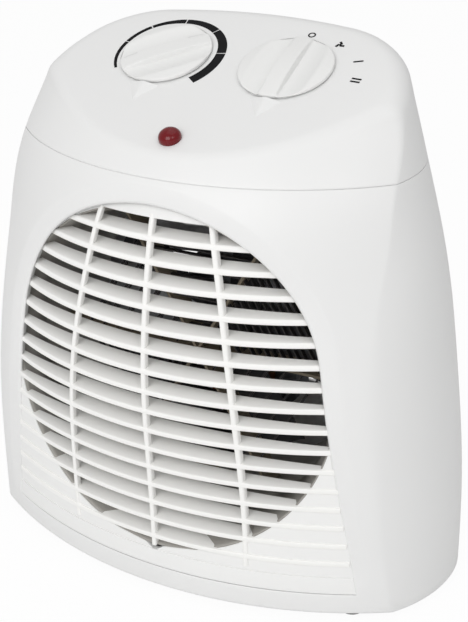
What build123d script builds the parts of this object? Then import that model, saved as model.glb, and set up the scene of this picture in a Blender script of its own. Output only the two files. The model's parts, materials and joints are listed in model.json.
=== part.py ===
from build123d import *
import math
import os

os.makedirs("parts", exist_ok=True)

# Driving dimensions of the whole heater, in millimetres.
# X is to the right seen from the front, Y to the back, Z up, and Z = 0 is the floor.
FOOT_H = 3.0
WALL = 2.4
SEAM_Z = 187.0
SEAM_GAP = 0.4
SKIRT_H = 2.8
SKIRT_T = 1.6
SPLIT_Y = 36.0
SIDE_R = 63.0
REAR_R = 225.0
REAR_CORNER_R = 38.0
PANEL_TILT = 23.7
PANEL_Y = 9.0
PANEL_Z = 219.2
PANEL_EDGE_R = 9.0
INNER_STEP = 5.5
FAR = 400.0

# Plan sections of the housing: height, y of the front, radius of the front, half width,
# y of the widest point, y of the back, and radius of the front corner.
STATIONS = [
    (FOOT_H, -58.1, 187.0, 113.4, 10.8, 63.4, 6.0),
    (55.0, -62.3, 184.5, 111.3, 9.0, 63.4, 10.0),
    (109.0, -66.6, 146.7, 104.4, 7.2, 63.0, 12.0),
    (154.0, -62.1, 124.0, 95.4, 4.5, 61.2, 13.0),
    (SEAM_Z, -50.9, 118.0, 86.9, 2.7, 57.6, 14.0),
    (208.0, -36.0, 115.0, 80.0, 3.6, 54.0, 14.0),
    (240.0, -31.6, 118.0, 68.0, 6.4, 47.4, 14.0),
]

# Arch-shaped opening in the front and the louvred insert behind it
PITCH = 9.0
GRILLE_Z = 100.0
SLOTS = 17
SLOT_FIELD_R = 75.4
BLADE_T = 3.2
BLADE_DEPTH = 9.4
BLADE_FLATTEN = 1.38
BAR_W = 2.2
BAR_X = (41.6, 37.5, 24.6)
RIDGE = 1.0
SKIN = 3.0
LEAN_BASE = 3.0
LEAN = 0.03
ARCH_Z = 107.3
ARCH_R = 71.0
ARCH_FOOT_X = 85.5
ARCH_FOOT_Z = 13.5
BAND_W = 6.5
BAND_DEPTH = 1.0
FRONT_HALF = 96.0
RIM_DEPTH = 8.5
RIM_W = 5.5

# Control knobs, their scale and the pilot lens, laid out in the plane of the sloping panel
KNOB_X = 27.5
KNOB_R = 19.6
KNOB_GAP = 1.0
KNOB_RIM_H = 2.4
KNOB_H = 8.0
GRIP_W = 8.0
GRIP_H = 10.0
SPINDLE_R = 3.0
SPINDLE_FLAT = 1.5
SPINDLE_FIT = 0.05
SPINDLE_TOP = 6.0
GRIP_DOME_R = 75.0
SCOOP_R = 11.0
SCOOP_Z = 4.0
SCALE_R = 21.9
TAB_W = 6.3
TAB_T = 0.8
TAB_L = 8.0
THERMOSTAT_SIZE = (24.0, 20.0, 12.0)
SWITCH_SIZE = (26.0, 26.0, 15.0)
CONTROL_SHANK_L = 8.0
LAMP_R = 2.2
LAMP_L = 9.0
THERMOSTAT_REST = 128.5
BUSH_WALL = 1.6
BUSH_TOP = 0.6
SCREW_X = 8.5
CONTROL_SHANK_R = 1.2
CONTROL_HEAD_R = 2.4
CONTROL_HEAD_H = 1.4
COUNTERSINK = 1.0
BEAK_L = 12.5
BEAK_W = 14.0
BEAK_H = 3.0
LENS_V = -50.1
LENS_R = 4.6
LENS_H = 2.6
PRINT_T = 0.15

# Air path: the duct ring, the heating element and the fan, all on one axis along Y
DUCT_R = 70.0
DUCT_WALL = 2.0
DUCT_FRONT_Y = -30.0
DUCT_REAR_Y = 22.0
SEAT_Z = GRILLE_Z - DUCT_R + 4
LEG_X = 38.0
LEG_W = 12.0
BOARD_T = 1.2
ELEMENT_FRONT_Y = -18.0
ELEMENT_DEPTH = 12.0
COIL_LOOPS = 7
COIL_R = 12.0
COIL_STEP = 7.5
RIBBON_T = 0.6
RIBBON_W = 2.4
CUTOUT_R = 7.0
CUTOUT_H = 4.4
CUTOUT_Y = DUCT_FRONT_Y + 8
FUSE_R = 1.8
FUSE_L = 12.0
FUSE_Y = DUCT_FRONT_Y + 21
FAN_FRONT_Y = 2.0
FAN_REAR_Y = 20.0
FAN_R = 62.0
BLADES = 5
BLADE_THICK = 1.8
BLADE_ROOT = (15.0, 48.0)
BLADE_TIP = (38.0, 24.0)
HUB_R = 13.0
NUT_R = 5.0
NUT_T = 4.0
SHAFT_R = 2.0
SHAFT_FIT = 0.05

# Shaded-pole motor behind the fan
BRACKET_T = 1.6
CORE_FRONT_Y = 30.0
CORE_DEPTH = 14.0
CORE_W = 52.0
CORE_TOP = 26.0
CORE_FOOT = 44.0
REAR_BRIDGE_Y = CORE_FRONT_Y + CORE_DEPTH + 6
WINDOW_W = 30.0
WINDOW_H = 12.0
WINDOW_Z = GRILLE_Z - CORE_FOOT + 18
BRIDGE_H = 22.0
PAD_H = 38.0
BEARING_R = 6.0
ROTOR_R = 12.0
ROTOR_GAP = 0.5
POST_R = 3.0
POSTS = [(20.0, 18.0), (-20.0, 18.0), (20.0, -12.0), (-20.0, -12.0)]

# Feet, fasteners and the cord inlet
FOOT_R = 7.0
PEG_R = 2.1
FEET = [(80.0, -28.6), (-80.0, -28.6), (68.0, 43.0), (-68.0, 43.0)]
BOSS_R = 5.5
BOSSES = [(84.0, 10.5), (-84.0, 10.5), (68.0, 172.0), (-68.0, 172.0)]
SCREW_HEAD_Y = 40.5
HEAD_R = 3.2
HEAD_H = 2.2
SHANK_R = 1.5
CLEAR = 0.3
TERMINAL_X = 61.0
TERMINAL_Y = 12.0
TERMINAL_SIZE = (32.0, 18.0, 13.0)
WIRE_PITCH = 10.0
WIRE_R = 2.0
INLET_X = 45.0
INLET_Z = 22.0
INLET_R = 5.0
INLET_WALL = 1.8
FLANGE_T = 1.5
INLET_PAD_Y = 60.9
INLET_INNER_Y = 50.5
VENT_R = 57.0
VENTS = 13
VENT_H = 4.4


def along(centre, point, radius):
    """Point at a radius from a centre, in the direction of another point."""
    d = math.dist(centre, point)
    return tuple(c + (p - c) * radius / d for c, p in zip(centre, point))


def corner_centre(c1, r1, c2, r2):
    """Centre of a corner arc that lies r1 from one centre and r2 from another, on the right."""
    d = math.dist(c1, c2)
    a = (r1 * r1 - r2 * r2 + d * d) / (2 * d)
    h = math.sqrt(r1 * r1 - a * a)
    ux, uy = (c2[0] - c1[0]) / d, (c2[1] - c1[1]) / d
    return max((c1[0] + a * ux - h * uy, c1[1] + a * uy + h * ux),
               (c1[0] + a * ux + h * uy, c1[1] + a * uy - h * ux))


def plan_section(station, inset):
    """Closed plan outline of tangent arcs at one height, moved inward by the inset."""
    z, front_y, front_r, half_w, wide_y, rear_y, corner_r = station
    front_c = (0.0, front_y + front_r)
    side_c = (half_w - SIDE_R, wide_y)
    rear_c = (0.0, rear_y - REAR_R)
    fc = corner_centre(front_c, front_r - corner_r, side_c, SIDE_R - corner_r)
    rc = corner_centre(rear_c, REAR_R - REAR_CORNER_R, side_c, SIDE_R - REAR_CORNER_R)
    p1 = along(front_c, fc, front_r - inset)
    p2 = along(side_c, fc, SIDE_R - inset)
    p3 = along(side_c, rc, SIDE_R - inset)
    p4 = along(rear_c, rc, REAR_R - inset)

    def middle(centre, a, b, radius):
        return along(centre, ((a[0] + b[0]) / 2, (a[1] + b[1]) / 2), radius)

    half = [(p1, middle(fc, p1, p2, corner_r - inset), p2),
            (p2, middle(side_c, p2, p3, SIDE_R - inset), p3),
            (p3, middle(rc, p3, p4, REAR_CORNER_R - inset), p4)]
    arc = Edge.make_three_point_arc
    edges = [arc((-p1[0], p1[1], z), (0, front_y + inset, z), (p1[0], p1[1], z))]
    for a, m, b in half:
        edges.append(arc((a[0], a[1], z), (m[0], m[1], z), (b[0], b[1], z)))
    edges.append(arc((p4[0], p4[1], z), (0, rear_y - inset, z), (-p4[0], p4[1], z)))
    for a, m, b in reversed(half):
        edges.append(arc((-b[0], b[1], z), (-m[0], m[1], z), (-a[0], a[1], z)))
    return Wire(edges)


def housing_form(inset=0.0):
    """Solid inside the housing's outer surface, moved inward by the inset."""
    return Part([Solid.make_loft([plan_section(s, inset) for s in STATIONS])])


def body_form(inset=0.0):
    """The part of the housing form below the seam; an inset form starts on the floor's top."""
    low = (FOOT_H + inset,) + STATIONS[0][1:]
    return Part([Solid.make_loft([plan_section(s, inset) for s in [low] + STATIONS[1:5]])])


def layer(z0, z1):
    """Everything between two heights."""
    return Pos(0, 0, (z0 + z1) / 2) * Box(FAR, FAR, z1 - z0)


def slice_y(y0, y1):
    """Everything between two depths."""
    return Pos(0, (y0 + y1) / 2, 0) * Box(FAR, y1 - y0, 2 * FAR)


def rod_y(radius, y0, y1, x=0.0, z=GRILLE_Z):
    """Round bar along the depth of the heater."""
    return Pos(x, (y0 + y1) / 2, z) * Rot(90, 0, 0) * Cylinder(radius, y1 - y0)


def prism_y(face, y0=-90.0, y1=90.0):
    """A face drawn in X and Z, run through the depth of the heater."""
    return Pos(0, y0, 0) * extrude(face, y1 - y0, dir=(0, 1, 0))


PANEL = Plane(origin=(0, PANEL_Y, PANEL_Z), x_dir=(1, 0, 0),
              z_dir=(0, -math.sin(math.radians(PANEL_TILT)), math.cos(math.radians(PANEL_TILT))))


def below_panel(inset=0.0):
    """Everything under the sloping panel."""
    return PANEL * Pos(0, 0, -inset - FAR / 2) * Box(FAR, FAR, FAR)


def arch_wire_face(radius, foot_x, foot_z):
    """Upright arch drawn in X and Z: a round top with straight sides down to its foot corners."""
    dx, dz = foot_x, foot_z - ARCH_Z
    reach = math.hypot(dx, dz)
    turn = math.atan2(dz, dx) + math.acos(radius / reach)
    tx, tz = radius * math.cos(turn), ARCH_Z + radius * math.sin(turn)
    top = Edge.make_three_point_arc((tx, 0, tz), (0, 0, ARCH_Z + radius), (-tx, 0, tz))
    left = Edge.make_line((-tx, 0, tz), (-foot_x, 0, foot_z))
    foot = Edge.make_line((-foot_x, 0, foot_z), (foot_x, 0, foot_z))
    right = Edge.make_line((foot_x, 0, foot_z), (tx, 0, tz))
    return Face(Wire([top, left, foot, right]))


def arch(grow, y0=-90.0, y1=0.0):
    """Arch-shaped cutter, larger than the opening by the given amount."""
    return prism_y(arch_wire_face(ARCH_R + grow, ARCH_FOOT_X + grow, ARCH_FOOT_Z - grow), y0, y1)


def front_block(depth=0.0, parallel=True, flatten=1.0, lean=False):
    """Block whose front is the housing's front arc, moved back by the depth."""
    wires = []
    half = FRONT_HALF
    for z, front_y, front_r in [s[:3] for s in STATIONS[:5]]:
        y = front_y + depth
        if lean:
            y += max(LEAN_BASE + LEAN * (z - GRILLE_Z), 0.3)
        r = front_r - depth if parallel else front_r * flatten
        end_y = y + r - math.sqrt(r * r - half * half)
        front = Edge.make_three_point_arc((-half, end_y, z), (0, y, z), (half, end_y, z))
        back = [(half, end_y, z), (half, 20, z), (-half, 20, z), (-half, end_y, z)]
        wires.append(Wire([front] + [Edge.make_line(p, q) for p, q in zip(back, back[1:])]))
    return Part([Solid.make_loft(wires)])


def louvre_form(depth=0.0, flatten=1.0):
    """Form of the louvred insert, which leans back from the housing face towards the top."""
    return front_block(depth, False, flatten, True)


def hollow_band(z0, z1, outer_inset, inner_inset):
    """Ring of wall between two heights, between two insets of the housing form."""
    band = housing_form(outer_inset) & layer(z0, z1)
    return band - (housing_form(inner_inset) & layer(z0 - 1, z1 + 1))


def lower_shell():
    """Walls and floor of the body below the seam."""
    return body_form() - body_form(WALL)


def foot_holes():
    """Peg holes of the four feet."""
    return [Pos(x, y, FOOT_H + WALL / 2) * Cylinder(PEG_R + CLEAR, 2 * WALL)
            for x, y in FEET]


def front_housing(shell):
    """Front half of the body: arch opening with its shallow band, and the screw pillars."""
    body = shell & slice_y(-90, SPLIT_Y)
    body = body - (arch(BAND_W) - front_block(BAND_DEPTH)) - arch(0)
    pillars = Part() + [rod_y(BOSS_R, -60, SPLIT_Y, x, z) for x, z in BOSSES]
    pillars = (pillars & body_form(WALL / 2)) - arch(RIM_W + 2, -90, -20)
    body = body + pillars
    holes = [rod_y(SHANK_R + CLEAR, SPLIT_Y - 16, SPLIT_Y + 1, x, z) for x, z in BOSSES]
    return body - holes - foot_holes()


def rear_cover(shell):
    """Back of the body: intake slots, counter-bosses for the screws and the cord inlet pad."""
    body = shell & slice_y(SPLIT_Y, 90)
    bosses = Part() + [rod_y(BOSS_R, SPLIT_Y, 80, x, z) for x, z in BOSSES]
    bosses = bosses + rod_y(INLET_R * 2, INLET_INNER_Y, INLET_PAD_Y, INLET_X, INLET_Z)
    body = body + (bosses & (body_form(WALL / 2) + rod_y(30, INLET_INNER_Y, 90, INLET_X, INLET_Z)))
    cuts = [rod_y(HEAD_R + CLEAR, SCREW_HEAD_Y, 90, x, z) for x, z in BOSSES]
    cuts += [rod_y(SHANK_R + CLEAR, SPLIT_Y - 1, 90, x, z) for x, z in BOSSES]
    cuts.append(rod_y(INLET_R + CLEAR, 40, 90, INLET_X, INLET_Z))
    vents = Part() + [Pos(0, 65, GRILLE_Z + PITCH * (i - (VENTS - 1) / 2)) * Box(FAR, 60, VENT_H)
                      for i in range(VENTS)]
    vents = (vents & rod_y(VENT_R, 40, 90)) - Pos(0, 60, GRILLE_Z) * Box(6, 80, FAR)
    return body - cuts - vents - foot_holes()


def front_grille():
    """Louvred insert: skin and rim behind the housing edge, blades, slots and three bars."""
    field = rod_y(SLOT_FIELD_R, -90, 0)
    behind = louvre_form(SKIN) - (field - louvre_form(BLADE_DEPTH, BLADE_FLATTEN))
    insert = (louvre_form() & arch(-CLEAR)) - behind
    rim = (front_block(WALL + 2 * CLEAR) & arch(RIM_W)) - front_block(RIM_DEPTH)
    insert = insert + (rim - arch(-CLEAR - 0.5))
    top = GRILLE_Z + PITCH * (SLOTS - 1) / 2
    gaps = Part() + [Pos(0, -45, top - PITCH * i - (PITCH - BLADE_T) / 2)
                     * Box(FAR / 2, 90, PITCH - BLADE_T) for i in range(SLOTS)]
    grooves = (gaps & arch(-CLEAR)) - louvre_form(RIDGE)
    slots = (gaps & field) - bar_prisms()
    return insert - (grooves.solids() + slots.solids())


def bar_prisms():
    """The middle bar and the two bowed side bars, drawn in X and Z and run through Y."""
    z0, z1, z2 = GRILLE_Z - 8 * PITCH, GRILLE_Z, GRILLE_Z + 8 * PITCH
    bars = [Pos(0, -45, GRILLE_Z) * Box(BAR_W, 90, 2 * SLOT_FIELD_R)]
    for side in (1, -1):
        edges = []
        for half in (-BAR_W / 2, BAR_W / 2):
            pts = [(side * (x + half), 0, z) for x, z in zip(BAR_X, (z0, z1, z2))]
            edges.append(Edge.make_three_point_arc(*pts))
        ends = [Edge.make_line(edges[0] @ k, edges[1] @ k) for k in (0, 1)]
        bars.append(prism_y(Face(Wire(edges + ends)), -90, 0))
    return bars


def top_cover():
    """Cap above the seam: sloping control panel, skirt, beaks and the control openings."""
    def under(form_inset, panel_inset):
        cap = housing_form(form_inset) & layer(SEAM_Z + SEAM_GAP, PANEL_Z + 40)
        return cap & below_panel(panel_inset)

    body = under(0.0, 0.0)
    rim = [e for e in body.edges() if abs(PANEL.to_local_coords(e @ 0.5).Z) < 0.01
           and abs(PANEL.to_local_coords(e @ 0.1).Z) < 0.01]
    body = fillet(rim, PANEL_EDGE_R)
    body = body - under(WALL, INNER_STEP) - under(INNER_STEP, WALL)
    z1, inner = SEAM_Z + SKIRT_T + 1, WALL + CLEAR + SKIRT_T
    body = body + hollow_band(SEAM_Z + SEAM_GAP, z1, WALL / 2, inner)
    body = body + hollow_band(SEAM_Z - SKIRT_H, z1, WALL + CLEAR, inner)
    for side in (-1, 1):
        body = body + PANEL * Pos(side * KNOB_X, 0, 0) * beak()
        hole = Cylinder(SPINDLE_R + BUSH_WALL + CLEAR, 4 * WALL)
        body = body - PANEL * Pos(side * KNOB_X, 0, 0) * hole
        for dx in (-SCREW_X, SCREW_X):
            at = PANEL * Pos(side * KNOB_X + dx, 0, 0)
            body = body - at * Cylinder(CONTROL_SHANK_R + CLEAR, 4 * WALL)
            body = body - at * Pos(0, 0, 5 - COUNTERSINK) * Cylinder(CONTROL_HEAD_R + CLEAR, 10)
    return body - PANEL * Pos(0, LENS_V, 0) * Cylinder(LENS_R - 0.8 + CLEAR, 4 * WALL)


def beak():
    """Wedge that points away from the knob at six o'clock, with a ridge down its middle."""
    v0, v1 = -(KNOB_R + 0.7), -(KNOB_R + 0.7 + BEAK_L)
    sunk = 0.8
    a, b = (-BEAK_W / 2, v0, -sunk), (BEAK_W / 2, v0, -sunk)
    tip, ridge = (0, v1, -sunk), (0, v0, BEAK_H)
    tris = [(a, b, tip), (a, ridge, b), (a, tip, ridge), (b, ridge, tip)]
    return Part([Solid(Shell([Face(Wire.make_polygon(t)) for t in tris]))])


def on_panel(x, v=0.0, w=0.0):
    """Place on the panel: across, up the slope, and out along its normal."""
    return PANEL * Pos(x, v, w)


def knob():
    """Control knob about its own axis, its grip bar pointing along +Y."""
    profile = Polyline((0, KNOB_GAP), (KNOB_R, KNOB_GAP), (KNOB_R, KNOB_GAP + KNOB_RIM_H))
    crown = ThreePointArc((KNOB_R, KNOB_GAP + KNOB_RIM_H), (KNOB_R * 0.6, KNOB_H - 1.2),
                          (0, KNOB_H))
    closing = Line((0, KNOB_H), (0, KNOB_GAP))
    disc = revolve(Plane.XZ * make_face([profile.edges(), crown, closing]), Axis.Z)
    grip = Pos(0, 0, (KNOB_GAP + 1 + GRIP_H) / 2) * Box(GRIP_W, 2 * KNOB_R, GRIP_H - KNOB_GAP - 1)
    grip = fillet(grip.edges().filter_by(Axis.Y).group_by(Axis.Z)[-1], 1.5)
    dome = Pos(0, 0, GRIP_H - GRIP_DOME_R) * Sphere(GRIP_DOME_R)
    grip = grip & dome & Cylinder(KNOB_R - 0.4, 4 * GRIP_H)
    scoops = [Pos(side * (GRIP_W / 2 + SCOOP_R - 1.8), 0, SCOOP_Z + SCOOP_R) * Rot(90, 0, 0)
              * Cylinder(SCOOP_R, 3 * KNOB_R) for side in (-1, 1)]
    body = (disc - scoops) + grip
    bore = Pos(0, 0, (KNOB_GAP + SPINDLE_TOP) / 2) * Cylinder(SPINDLE_R + SPINDLE_FIT,
                                                              SPINDLE_TOP - KNOB_GAP + 0.6)
    flat = Pos(0, SPINDLE_R - SPINDLE_FLAT + 5 + SPINDLE_FIT, 0) * Box(20, 10, 60)
    return body - (bore - flat)


def spindle(length):
    """D-shaped spindle about its own axis, from the given depth up into the knob."""
    rod = Pos(0, 0, (SPINDLE_TOP - length) / 2) * Cylinder(SPINDLE_R, SPINDLE_TOP + length)
    flat = Pos(0, SPINDLE_R - SPINDLE_FLAT + 5, SPINDLE_TOP) * Box(20, 10, 2 * SPINDLE_TOP - 2)
    return rod - flat


def control_body(size, tabs):
    """Body of a panel control about the spindle axis: bush, body block and spade terminals."""
    width, height, depth = size
    block = Pos(0, 0, -WALL - depth / 2) * Box(width, height, depth)
    block = chamfer(block.edges().filter_by(Axis.Z), 2)
    bush = Pos(0, 0, (BUSH_TOP - WALL - 1) / 2) * Cylinder(SPINDLE_R + BUSH_WALL,
                                                           BUSH_TOP + WALL + 1)
    body = block + bush
    for x in tabs:
        body = body + Pos(x, 3, -WALL - depth - TAB_L / 2) * Box(TAB_W, TAB_T, TAB_L)
    body = body - Pos(0, 0, -depth / 2) * Cylinder(SPINDLE_R + SPINDLE_FIT, depth + 8)
    holes = [Pos(x, 0, -WALL) * Cylinder(CONTROL_SHANK_R + CLEAR, 2 * CONTROL_SHANK_L)
             for x in (-SCREW_X, SCREW_X)]
    return body - holes


def control_screws():
    """Four countersunk screws that hold the two controls to the panel."""
    screw = Pos(0, 0, CONTROL_HEAD_H / 2 - COUNTERSINK) * Cylinder(CONTROL_HEAD_R, CONTROL_HEAD_H)
    shank = Pos(0, 0, -CONTROL_SHANK_L / 2) * Cylinder(CONTROL_SHANK_R, CONTROL_SHANK_L)
    screw = screw + shank
    return [on_panel(side * KNOB_X + dx) * screw for side in (-1, 1) for dx in (-SCREW_X, SCREW_X)]


def pilot_lens():
    """Domed lens with a hollow stem through the panel."""
    dome_r = (LENS_R ** 2 + LENS_H ** 2) / (2 * LENS_H)
    dome = (Pos(0, 0, LENS_H - dome_r) * Sphere(dome_r)) & Pos(0, 0, 10) * Box(40, 40, 20)
    stem_l = WALL + 5
    stem = Pos(0, 0, -stem_l / 2) * Cylinder(LENS_R - 0.8, stem_l)
    bore = Pos(0, 0, -stem_l / 2 - 0.5) * Cylinder(LAMP_R + CLEAR, stem_l)
    return on_panel(0, LENS_V) * (dome + stem - bore)


def pilot_lamp():
    """Neon lamp in the stem of the lens, with its two lead wires."""
    glass = Pos(0, 0, -LAMP_L / 2 - 1.2) * Cylinder(LAMP_R, LAMP_L)
    glass = fillet(glass.edges().group_by(Axis.Z)[-1], 1.0)
    leads = [Pos(x, 0, -LAMP_L - 3.2) * Cylinder(0.4, 4.4) for x in (-1.0, 1.0)]
    return on_panel(0, LENS_V) * (glass + leads)


def scale_arc():
    """Six-part arc beside the thermostat knob that widens clockwise."""
    def width(angle):
        pts = ((-38.5, 3.9), (20.0, 3.0), (90.0, 1.4), (218.5, 1.0))
        for (a0, w0), (a1, w1) in zip(pts, pts[1:]):
            if angle <= a1:
                return w0 + (w1 - w0) * (angle - a0) / (a1 - a0)
        return pts[-1][1]

    def at(angle, radius):
        return (radius * math.cos(math.radians(angle)), radius * math.sin(math.radians(angle)))

    faces = []
    stops = [-38.5, 10.3, 52.5, 95.3, 133.8, 167.7, 218.5]
    for a0, a1 in zip(stops, stops[1:]):
        lo, hi = a0 + 0.7 * (a0 > stops[0]), a1 - 0.7 * (a1 < stops[-1])
        angles = [lo + (hi - lo) * k / 8 for k in range(9)]
        inner = [at(a, SCALE_R) for a in angles]
        outer = [at(a, SCALE_R + width(a)) for a in reversed(angles)]
        faces.append(make_face(Polyline(*inner, *outer, close=True)))
    return faces


def dial_marks():
    """Thin printed marks: the arc scale, and off, fan, I and II around the mode knob."""
    parts = [on_panel(-KNOB_X) * extrude(f, PRINT_T) for f in scale_arc()]
    ring = Cylinder(1.6, PRINT_T) - Cylinder(1.05, PRINT_T)
    bar = Box(4.0, 0.8, PRINT_T)
    petal = Pos(1.15, 0, 0) * Rot(0, 0, 35) * Box(1.9, 1.0, PRINT_T)
    blades = Cylinder(0.5, PRINT_T) + [Rot(0, 0, 120 * k + 90) * petal for k in range(3)]
    up = PRINT_T / 2
    places = [(ring, 1.3, 23.6, 0), (blades, 15.5, 19.2, 0), (bar, 26.9, 10.0, 20),
              (bar, 30.4, -0.9, -3), (bar, 30.3, -2.7, -3)]
    for shape, x, v, turn in places:
        parts.append(on_panel(KNOB_X + x, v, up) * Rot(0, 0, turn) * shape)
    return parts


def duct_shroud():
    """Round air duct on two legs, with a seat for the thermal cut-out at its lowest point."""
    length = DUCT_REAR_Y - DUCT_FRONT_Y
    mid = (DUCT_FRONT_Y + DUCT_REAR_Y) / 2
    ring = rod_y(DUCT_R + DUCT_WALL, DUCT_FRONT_Y, DUCT_REAR_Y)
    floor = FOOT_H + WALL
    legs = [Pos(x, mid, (floor + GRILLE_Z) / 2) * Box(LEG_W, length - 12, GRILLE_Z - floor)
            for x in (-LEG_X, LEG_X)]
    seat = Pos(0, DUCT_FRONT_Y + 13, GRILLE_Z - DUCT_R + 1) * Box(18, 26, 6)
    body = ring + [leg & layer(0, GRILLE_Z - DUCT_R * 0.8) for leg in legs]
    bore = rod_y(DUCT_R, DUCT_FRONT_Y - 1, DUCT_REAR_Y + 1)
    return (body - bore) + (seat & rod_y(DUCT_R + 1, DUCT_FRONT_Y, DUCT_REAR_Y))


def coil():
    """Hexagonal heater ribbon loops in two rows, their corners on the boards."""
    loops = []
    for k in range(COIL_LOOPS):
        radius = COIL_R + COIL_STEP * k
        band = RegularPolygon(radius, 6) - RegularPolygon(radius - RIBBON_T, 6)
        for y in (ELEMENT_FRONT_Y + ELEMENT_DEPTH * 0.2, ELEMENT_FRONT_Y + ELEMENT_DEPTH * 0.6):
            loops.append(Pos(0, y + RIBBON_W, GRILLE_Z) * Rot(90, 0, 0) * extrude(band, RIBBON_W))
    return loops


def mica_frame(loops):
    """Three crossed boards that carry the heater ribbon in notches."""
    mid = ELEMENT_FRONT_Y + ELEMENT_DEPTH / 2
    boards = Part() + [Pos(0, mid, GRILLE_Z) * Rot(0, 60 * k, 0)
                       * Box(2 * DUCT_R - 0.4, ELEMENT_DEPTH, BOARD_T) for k in range(3)]
    return boards - loops


def thermal_cutout():
    """Bimetal disc cut-out with its two tabs, on the seat in the duct."""
    at = Pos(0, CUTOUT_Y, SEAT_Z)
    body = at * Pos(0, 0, CUTOUT_H / 2) * Cylinder(CUTOUT_R, CUTOUT_H)
    body = body + at * Pos(0, 0, CUTOUT_H + 0.8) * Cylinder(CUTOUT_R - 2, 1.6)
    tabs = [at * Pos(side * (CUTOUT_R + 1.4), 0, 1.2) * Box(5, 4, TAB_T) for side in (-1, 1)]
    return body + tabs


def thermal_fuse():
    """Thermal fuse lying across the seat behind the cut-out."""
    at = Pos(0, FUSE_Y, SEAT_Z + FUSE_R + 0.1)
    return at * Rot(0, 90, 0) * (Cylinder(FUSE_R, FUSE_L) + Cylinder(0.5, FUSE_L * 1.5))


def fan_impeller():
    """Axial impeller: hub with twisted blades."""
    hub = rod_y(HUB_R, FAN_FRONT_Y, FAN_REAR_Y)
    hub = fillet(hub.edges().group_by(Axis.Y)[0], 3)

    def blade_wire(radius, chord_and_pitch):
        chord, a = chord_and_pitch[0], math.radians(chord_and_pitch[1])
        mid = (FAN_FRONT_Y + FAN_REAR_Y) / 2
        run = (math.cos(a) * chord / 2, math.sin(a) * chord / 2)
        thick = (-math.sin(a) * BLADE_THICK / 2, math.cos(a) * BLADE_THICK / 2)
        pts = [(radius, mid + s * run[1] + t * thick[1], s * run[0] + t * thick[0])
               for s, t in ((-1, -1), (1, -1), (1, 1), (-1, 1))]
        return Wire.make_polygon([(x, y, GRILLE_Z + z) for x, y, z in pts])

    wires = [blade_wire(HUB_R - 2, BLADE_ROOT), blade_wire(FAN_R, BLADE_TIP)]
    blade = Part([Solid.make_loft(wires, True)])
    body = hub + [Pos(0, 0, GRILLE_Z) * Rot(0, 360 / BLADES * k, 0) * Pos(0, 0, -GRILLE_Z) * blade
                  for k in range(BLADES)]
    return body - rod_y(SHAFT_R + SHAFT_FIT, FAN_FRONT_Y - 1, FAN_REAR_Y + 1)


def motor_shaft():
    """Shaft through the fan, the two bearings and the rotor."""
    return rod_y(SHAFT_R, FAN_FRONT_Y - 6, REAR_BRIDGE_Y + BRACKET_T + 3)


def motor_rotor():
    """Squirrel-cage rotor with its two end rings."""
    y0, y1 = CORE_FRONT_Y, CORE_FRONT_Y + CORE_DEPTH
    body = rod_y(ROTOR_R, y0, y1) + rod_y(ROTOR_R - 2, y0 - 2, y1 + 2)
    return body - rod_y(SHAFT_R + SHAFT_FIT, y0 - 3, y1 + 3)


def motor_core():
    """Stack of plates with the rotor bore and the window for the winding."""
    mid = CORE_FRONT_Y + CORE_DEPTH / 2
    height = CORE_TOP + CORE_FOOT
    core = Pos(0, mid, GRILLE_Z + (CORE_TOP - CORE_FOOT) / 2) * Box(CORE_W, CORE_DEPTH, height)
    core = chamfer(core.edges().filter_by(Axis.Y), 3)
    window = Pos(0, mid, WINDOW_Z) * Box(WINDOW_W, 2 * CORE_DEPTH, WINDOW_H)
    core = core - window - rod_y(ROTOR_R + ROTOR_GAP, 0, 90)
    holes = [rod_y(SHANK_R + CLEAR, 0, 90, x, GRILLE_Z + z) for x, z in POSTS]
    return core - holes


def motor_coil():
    """Winding on its bobbin around the lower limb of the core."""
    mid = CORE_FRONT_Y + CORE_DEPTH / 2
    limb_z0 = GRILLE_Z - CORE_FOOT
    limb_z1 = WINDOW_Z - WINDOW_H / 2
    limb = (limb_z0 + limb_z1) / 2
    thick = limb_z1 - limb_z0
    wound = Pos(0, mid, limb) * Box(WINDOW_W - 2.6, CORE_DEPTH + 10, thick + 12)
    wound = fillet(wound.edges().filter_by(Axis.X), 3)
    cheeks = [Pos(x, mid, limb) * Box(1.2, CORE_DEPTH + 13, thick + 15)
              for x in (-WINDOW_W / 2 + 0.8, WINDOW_W / 2 - 0.8)]
    return wound + cheeks - Pos(0, mid, limb) * Box(FAR, CORE_DEPTH, thick)


def motor_bracket():
    """Front bearing bridge across the duct and rear bearing bridge, with their spacers."""
    y0 = DUCT_REAR_Y
    bar = Pos(0, y0 + BRACKET_T / 2, GRILLE_Z) * Box(2 * (DUCT_R + 1), BRACKET_T, BRIDGE_H)
    pad = Pos(0, y0 + BRACKET_T / 2, GRILLE_Z + 3) * Box(CORE_W, BRACKET_T, PAD_H)
    front = bar + pad + rod_y(BEARING_R, y0, y0 + 4.5)
    rear_y = REAR_BRIDGE_Y
    rear = Pos(0, rear_y + BRACKET_T / 2, GRILLE_Z + 3) * Box(CORE_W, BRACKET_T, PAD_H)
    rear = chamfer(rear.edges().filter_by(Axis.Y), 6) + rod_y(BEARING_R, rear_y - 1, rear_y + 3)
    for x, z in POSTS:
        front = front + rod_y(POST_R, y0, CORE_FRONT_Y, x, GRILLE_Z + z)
        rear = rear + rod_y(POST_R, CORE_FRONT_Y + CORE_DEPTH, rear_y, x, GRILLE_Z + z)
    holes = [rod_y(SHANK_R + CLEAR, 0, 90, x, GRILLE_Z + z) for x, z in POSTS]
    bore = rod_y(SHAFT_R + SHAFT_FIT, 0, 90)
    return [front - holes - bore, rear - holes - bore]


def pan_screw(x, z, head_y, length, side=1):
    """Pan-head screw along Y: its head lies on the given side of head_y."""
    head = rod_y(HEAD_R, head_y, head_y + side * HEAD_H, x, z)
    shank = rod_y(SHANK_R, head_y - side * length, head_y, x, z)
    return head + shank


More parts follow.
